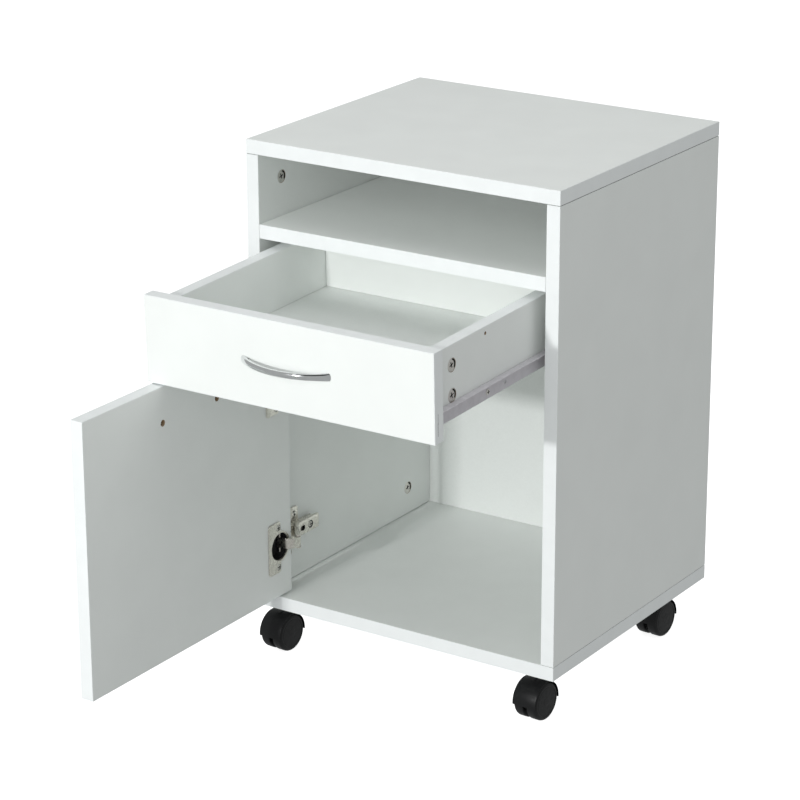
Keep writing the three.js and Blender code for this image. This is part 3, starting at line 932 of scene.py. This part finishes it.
def hinge_cup(row):
    """Pressed cup with its rolled rim, screw plate and the pin that the link turns on, with painted shade inside
    it.
    """
    node = f"{row}_hinge_cup"
    z = hinge_middle(row)
    low, high = local_box(node, DOOR)
    floor, face = low.y, BOARD + GAP
    inner, rim = CUP_RADIUS - CUP_WALL, CUP_RADIUS + CUP_RIM
    cup = lathe(fillet([
        (0, floor), (CUP_RADIUS, floor, 1.4), (CUP_RADIUS, face), (rim, face), (rim, face + 1.1, 0.5),
        (inner, face + 1.1, 0.4), (inner, floor + CUP_WALL, 1), (0, floor + CUP_WALL),
    ], closed=False), 56)
    centre = Vector((HINGE_CUP_X, 0, z))
    moved(cup, facing(centre, Y))

    half = (high.z - low.z) / 2
    plate = prism(fillet([
        (HINGE_CUP_X - 1, z - half, 2.5), (high.x, z - half, 3.5),
        (high.x, z + half, 3.5), (HINGE_CUP_X - 1, z + half, 2.5),
    ], steps=6), face, face + CUP_PLATE, Y, 0.45)
    mouth = rod(centre + Y * (face - 2), centre + Y * (face + 4), inner + 0.6, 56)
    across, up = CUP_SCREW
    screw_spots = [centre + Vector((across, face, side * up)) for side in (-1, 1)]
    dimples = [
        moved(lathe([(0, -1.1), (2.4, -1.1), (4.6, 0.6), (0, 0.6)], 28), facing(spot + Y * CUP_PLATE, Y))
        for spot in screw_spots
    ]
    # The cut faces of the mouth and of the screw dimples take the near black of painted shade.
    plate = carve(plate, [mouth, *dimples], inside=1)
    pivot = Vector((hinge_point.x, hinge_point.y, z))
    pin = rod(pivot - Z * CUP_PIN_HALF, pivot + Z * CUP_PIN_HALF, PIN, 20)
    add(f"{node}_shell", merged(cup, plate, pin), node, [finish_of(node), PAINTED_SHADE_AND_SCUFFS], DOOR, smooth=35)

    # Painted shade: a thin near-black sheet lines the cup, where its inside falls in shade.
    outside = inner - 0.1
    inside = outside - PAINTED_SHADE_LINER_WALL
    painted_shade_liner = lathe([
        (0, floor + CUP_WALL), (outside, floor + CUP_WALL), (outside, face - 1), (inside, face - 1),
        (inside, floor + CUP_WALL + 0.4), (0, floor + CUP_WALL + 0.4),
    ], 56)
    moved(painted_shade_liner, facing(centre, Y))
    add(f"{node}_liner", painted_shade_liner, node, [PAINTED_SHADE_AND_SCUFFS], DOOR, smooth=35, stands=False)
    heads_at = [facing(spot + Y * CUP_PLATE / 2, Y) for spot in screw_spots]
    add_screws(node, screw_head(3.5, 1.0), heads_at, DOOR)


def curve(a, control, b, steps=10):
    """Points of a quadratic curve, without its two ends."""
    a, control, b = Vector(a), Vector(control), Vector(b)
    points = []
    for k in range(1, steps):
        t = k / steps
        points.append(a * (1 - t) ** 2 + control * 2 * t * (1 - t) + b * t * t)
    return points


def hinge_link(row):
    """Gooseneck band from the pin in the cup to the pin in the arm."""
    node = f"{row}_hinge_link"
    z = hinge_middle(row)
    px, py = hinge_point.x, hinge_point.y
    outer = [Vector((px, py - LINK_EYE)), Vector((px + 7, py - 1.8))]
    outer += curve((px + 7, py - 1.8), (px + 18, py - 0.8), (KNUCKLE.x + LINK_EYE, KNUCKLE.y))
    outer += circle(KNUCKLE, LINK_EYE, 12, 0, math.pi)
    outer += curve((KNUCKLE.x - LINK_EYE, KNUCKLE.y), (px + 13, py + 2.8), (px + 6.5, py + 2.6))
    outer += circle((px, py), LINK_EYE, 12, math.pi / 2, 1.5 * math.pi)
    outline = [outer[0]]
    for point in outer[1:]:
        if (point - outline[-1]).length > 1e-3:
            outline.append(point)
    if (outline[0] - outline[-1]).length < 1e-3:
        outline.pop()
    band = prism(outline, z - LINK_HALF, z + LINK_HALF, Z, 0.35)
    holes = [rod((x, y, z - 8), (x, y, z + 8), PIN + 0.35, 20) for x, y in ((px, py), KNUCKLE)]
    add(f"{node}_band", carve(band, holes), node, [finish_of(node)], smooth=35)


def hinge_arm(row):
    """Cranked channel with a fork for the link, an oval window and its two adjusting screws."""
    node = f"{row}_hinge_arm"
    z = hinge_middle(row)
    low, high = local_box(node)
    half = (high.z - low.z) / 2
    inner = SIDE_FACE + ARM_STANDOFF
    outer = inner + ARM_THICK
    x, y = KNUCKLE
    body = prism(fillet([
        (inner, ARM_END, 0.8), (inner, 45, 3), (x - 3.2, y - 1.2, 1.5), (x, y - 3.6, 1.5),
        (x + 3.6, y + 0.6, 2), (outer, 48, 3), (outer, ARM_END, 1.2),
    ], steps=5), z - half, z + half, Z, 0.7)
    slot_half = LINK_HALF + GAP
    fork = box((x - 9, y - 8, z - slot_half), (x + 8, y + 5, z + slot_half))
    hollow = box((inner - 1, 50, z - half + 1.3), (outer - 1.2, ARM_END + 2, z + half - 1.3))
    oval = slot((ARM_WINDOW["y"], z), ARM_WINDOW["half"], 3)
    window = prism(oval, outer - 3, outer + 1, X)
    dish_radius, dish_depth = ARM_DISH
    dish_floor = Vector((outer - dish_depth, ARM_SCREW_Y, z))
    dish = rod(dish_floor, dish_floor + X * (dish_depth + 1), dish_radius, 28)
    # The faces cut for the fork, hollow, window and dish take the near black of painted shade.
    body = carve(body, [fork, hollow, window, dish], inside=1)
    pin = rod((x, y, z - half + 0.5), (x, y, z + half - 0.5), PIN, 20)
    add(f"{node}_channel", merged(body, pin), node, [finish_of(node), PAINTED_SHADE_AND_SCUFFS], smooth=35)

    cam_screw = facing(Vector((outer - CAM_SCREW["depth"], CAM_SCREW["y"], z)), X)
    add_screws(node, screw_head(3.5, 1.2, 0.9), [
        facing(dish_floor, X), cam_screw @ Matrix.Scale(CAM_SCREW["scale"], 4),
    ])


def hinge_plate(row):
    """Winged mounting plate with a ridge that the arm clips over, and its two wood screws."""
    node = f"{row}_hinge_plate"
    z = hinge_middle(row)
    low, high = local_box(node)
    half = (high.z - low.z) / 2
    near, far = WING
    wings = prism(fillet([
        (near, z - half, 3), (far, z - half, 3), (far, z - 9, 1), (far + 2, z - 7.5, 1),
        (far + 2, z + 7.5, 1), (far, z + 9, 1), (far, z + half, 3), (near, z + half, 3),
    ], steps=5), low.x, low.x + WING_THICK, X, 0.6)
    screw_y, up = WING_SCREW
    heights = (z - up, z + up)
    slots = [prism(slot((screw_y, h), WING_SLOT_HALF, 2.4), low.x - 1, low.x + 4, X) for h in heights]
    wings = carve(wings, slots)
    start, end = RIDGE["y"]
    ridge = box((low.x + 1, start, z - RIDGE["half"]), (high.x, end, z + RIDGE["half"]), 1.0)
    add(f"{node}_wings", merged(wings, ridge), node, [finish_of(node)], smooth=35)
    spots = [Vector((low.x + WING_THICK, screw_y, h)) for h in heights]
    add_screws(node, screw_head(3.1, 1.1), [facing(spot, X) for spot in spots])


def door():
    cuts = handle_cuts("door_handle", DOOR)
    for row in ("lower", "upper"):
        centre = Vector((HINGE_CUP_X, 0, hinge_middle(row)))
        floor = local_box(f"{row}_hinge_cup", DOOR)[0].y - GAP
        cuts.append(lambda c=centre, f=floor: rod(c + Y * f, c + Y * (BOARD + 2), CUP_RADIUS + GAP, 56))
    board("door_panel", ("-z", "+z", "-x", "+x"), DOOR, cuts=cuts)
    bow_handle("door_handle", DOOR)
    for row in ("lower", "upper"):
        hinge_cup(row)
        hinge_link(row)
        hinge_arm(row)
        hinge_plate(row)


# ------------ casters

TRAIL = 24
WHEEL_RADIUS = 22
AXLE = 2.5
AXLE_BORE = 2.8
WHEEL_RING = (6, 16)  # radii of the sunk ring on a wheel's inner side
WHEEL_HUB = 4.6
WEB = 4.6
WEB_RADIUS = 16
HOOD_RADIUS = 23.3
HOOD_WALL = 0.9
HOOD_ARC = (-5, 185)  # degrees
HUB_RADIUS = 9
SOCKET = 4.3
SOCKET_FLOOR = 40.1
COLLAR_FLOOR = 51.8
THREAD = (4, 3.5)  # crest and root radius
PITCH = 1.25


def caster_place(corner):
    """Carries caster pieces, drawn about a stem at the origin, to their corner."""
    swivel = cabinet_point(joints[f"{corner}_swivel"]["pos_m"])
    axle = joints[f"{corner}_left_wheel_spin"]["axis"]
    turn = math.atan2(axle[1], axle[0])
    return Matrix.Translation((swivel.x, swivel.y, 0)) @ Matrix.Rotation(turn, 4, "Z")


def caster_wheel(corner, side, sign, place):
    """Nylon wheel: rounded tread, a shallow ring and a low hub on its outer face."""
    node = f"{corner}_caster_{side}_wheel"
    low, high = local_box(node, place)
    wide = high.x - low.x
    rim = WHEEL_RADIUS
    ring_in, ring_out = WHEEL_RING
    profile = fillet([
        (0, wide - 1.9), (AXLE_BORE, wide - 1.9), (AXLE_BORE, 0.3), (ring_in - 1, 0.3), (ring_in, 2.2, 0.5),
        (ring_out, 2.2, 0.8), (ring_out + 1.5, 0, 0.6), (rim, 0, 1.2), (rim, wide - 1, 3.2),
        (rim - 3.4, wide, 2), (rim - 4.6, wide, 0.2), (rim - 5, wide - 0.35, 0.2),
        (rim - 5.6, wide - 0.35, 0.2), (rim - 6, wide - 0.1, 0.2), (WHEEL_HUB + 0.4, wide - 0.1, 0.2),
        (WHEEL_HUB, wide, 0.2), (0, wide),
    ], closed=False, steps=4)
    inner_face = min(abs(low.x), abs(high.x))
    start = Vector((sign * inner_face, -TRAIL, WHEEL_RADIUS))
    wheel = moved(lathe(profile, 72), facing(start, X * sign))
    add(f"{node}_tread", wheel, node, [finish_of(node)], place, smooth=40)


def caster_housing(corner, place):
    """Hood over both wheels, the web and axle between them, and the socket round the stem."""
    node = f"{corner}_caster_housing"
    high = local_box(node, place)[1]
    half = high.x
    centre = (-TRAIL, WHEEL_RADIUS)
    start, end = [math.radians(angle) for angle in HOOD_ARC]
    hood = prism([
        *circle(centre, HOOD_RADIUS, 56, start, end),
        *reversed(circle(centre, HOOD_RADIUS - HOOD_WALL, 56, start, end)),
    ], -half, half, X, 0.38)
    web = prism(circle(centre, WEB_RADIUS, 48), -WEB / 2, WEB / 2, X, 0.5)
    cheek = box((-WEB / 2, -TRAIL - 6, WHEEL_RADIUS), (WEB / 2, -1, high.z - 6), 0.4)
    hub = lathe(fillet([
        (0, SOCKET_FLOOR - 1.5), (HUB_RADIUS, SOCKET_FLOOR - 1.5, 0.6), (HUB_RADIUS, high.z, 1.2),
        (6.6, high.z, 0.3), (6.2, high.z - 1, 0.2), (SOCKET, high.z - 1), (SOCKET, SOCKET_FLOOR),
        (0, SOCKET_FLOOR),
    ], closed=False), 48)
    axle = rod((-half + 2.6, *centre), (half - 2.6, *centre), AXLE, 20)
    body = joined(hood, web, cheek, hub, axle)
    bore = rod((0, 0, SOCKET_FLOOR), (0, 0, high.z + 1), SOCKET, 48)
    body = carve(body, [bore])
    add(f"{node}_hood", body, node, [finish_of(node)], place, smooth=35)


def caster_stem(corner, place):
    """Stem with a plain end in the hood, a collar and a thread up into the bottom panel."""
    node = f"{corner}_caster_stem"
    low, high = local_box(node, place)
    collar = max(abs(low.x), abs(high.x))
    under = local_box("bottom_panel")[0].z
    crest, root = THREAD
    threads = []
    z = under + 1
    while z < high.z - PITCH:
        threads += [(crest, z), (root, z + PITCH / 2)]
        z += PITCH
    profile = fillet([
        (0, low.z), (3.8, low.z, 0.4), (3.8, COLLAR_FLOOR), (collar, COLLAR_FLOOR, 0.5),
        (collar, under - GAP, 0.5), (3.6, under - GAP), *threads, (3.4, high.z, 0.3), (0, high.z),
    ], closed=False, steps=3)
    add(f"{node}_rod", lathe(profile, 36), node, [finish_of(node)], place, smooth=35)


def casters():
    for corner in ("front_left", "front_right", "rear_left", "rear_right"):
        place = caster_place(corner)
        caster_stem(corner, place)
        caster_housing(corner, place)
        for side, sign in (("left", -1), ("right", 1)):
            caster_wheel(corner, side, sign, place)


# ------------ studio


MIDDLE = (0, 0, 0.3)
FLOOR_REACH = 12
FLOOR_GLOW = 0.85
BACKDROP_RADIUS = 25
BACKDROP_GLOW = 1.2
CARD = {"direction": (0.2, -0.75, 0.63), "distance": 2, "half": 0.6}
SKY = 0.42
SKY_COLOR = (0.98, 1, 0.995, 1)
WHITE = (1, 1, 1, 1)

# direction from the middle, distance, size, power and whether shiny parts mirror it
LIGHTS = {
    "key": ((-0.06, -0.958, 0.286), 3.2, (0.16, 0.12), 39, True),
    "overhead": ((0.05, 0.05, 1), 2.1, (1.8, 1.8), 10, False),
    "fill": ((0.2, -0.93, 0.3), 3, (2.4, 2.0), 22, False),
}


def area_light(name, direction, distance, size, power, mirrored):
    """A rectangular softbox that looks at the middle of the cabinet from the given direction."""
    data = bpy.data.lights.new(name, "AREA")
    data.shape = "RECTANGLE"
    data.size, data.size_y = size
    data.energy = power
    lamp = bpy.data.objects.new(name, data)
    away = Vector(direction).normalized()
    lamp.location = Vector(MIDDLE) + away * distance
    lamp.rotation_euler = away.to_track_quat("Z", "Y").to_euler()
    lamp.visible_glossy = mirrored
    bpy.context.scene.collection.objects.link(lamp)


def stage_piece(name, bm, material, seen=False, mirrored=False, shadow=False):
    """A piece of the studio that never lights the cabinet."""
    mesh = bpy.data.meshes.new(name)
    bm.to_mesh(mesh)
    bm.free()
    mesh.materials.append(material)
    thing = bpy.data.objects.new(name, mesh)
    bpy.context.scene.collection.objects.link(thing)
    thing.visible_camera = seen
    thing.visible_glossy = mirrored
    thing.visible_shadow = shadow
    thing.visible_diffuse = False


def backdrop():
    """White surroundings for the camera alone, so that no horizon shows."""
    finish = Finish("white_backdrop", (0, 0, 0), 1, Emission_Color=WHITE, Emission_Strength=BACKDROP_GLOW)
    bm = bmesh.new()
    bmesh.ops.create_icosphere(bm, subdivisions=4, radius=BACKDROP_RADIUS)
    stage_piece("backdrop", bm, finish.material, seen=True)


def black_card():
    """A dark card that the chrome and plated parts mirror and nothing else shows."""
    finish = Finish("black_card", (0.01, 0.01, 0.01), 1)
    finish.cloud(finish.noise(300, 2), 0.8, 1.2)
    bm = bmesh.new()
    bmesh.ops.create_grid(bm, x_segments=1, y_segments=1, size=CARD["half"])
    away = Vector(CARD["direction"]).normalized()
    moved(bm, facing(Vector(MIDDLE) + away * CARD["distance"], -away))
    stage_piece("black_card", bm, finish.material, mirrored=True)


def pale_floor():
    """A white floor that glows a little and takes the cabinet's shadow."""
    gray = (0.86, 0.86, 0.86)
    finish = Finish("pale_floor", gray, 0.9, Emission_Color=WHITE, Emission_Strength=FLOOR_GLOW)
    finish.paint(finish.colored(finish.noise(400, 2), (0.85, 0.85, 0.85), (0.87, 0.87, 0.87)))
    bm = bmesh.new()
    bmesh.ops.create_grid(bm, x_segments=8, y_segments=8, size=FLOOR_REACH)
    stage_piece("floor", bm, finish.material, seen=True, shadow=True)


def studio():
    """Floor, dim sky, white backdrop, a dark card to mirror, and softboxes in front and overhead."""
    pale_floor()
    world = bpy.data.worlds.new("studio")
    world.use_nodes = True
    sky = world.node_tree.nodes["Background"]
    sky.inputs["Color"].default_value = SKY_COLOR
    sky.inputs["Strength"].default_value = SKY
    bpy.context.scene.world = world
    bpy.context.scene.view_settings.view_transform = "Standard"
    backdrop()
    black_card()
    for name, settings in LIGHTS.items():
        area_light(name, *settings)


CAMERA_PLACE = (1.69933, -2.57108, 1.42460)
CAMERA_FORWARD = (-0.52024, 0.78696, -0.33173)
CAMERA_UP = (-0.18040, 0.27840, 0.94337)
LENS = 134.74


def camera():
    """The view of the photograph."""
    data = bpy.data.cameras.new("camera")
    data.sensor_width = 36
    data.lens = LENS
    data.clip_end = 50
    thing = bpy.data.objects.new("camera", data)
    forward = Vector(CAMERA_FORWARD).normalized()
    right = forward.cross(Vector(CAMERA_UP)).normalized()
    up = right.cross(forward)
    turn = Matrix((right, up, -forward)).transposed().to_4x4()
    thing.matrix_world = Matrix.Translation(CAMERA_PLACE) @ turn
    bpy.context.scene.collection.objects.link(thing)
    bpy.context.scene.camera = thing


camera()
studio()
carcass_boards()
drawer()
door()
casters()
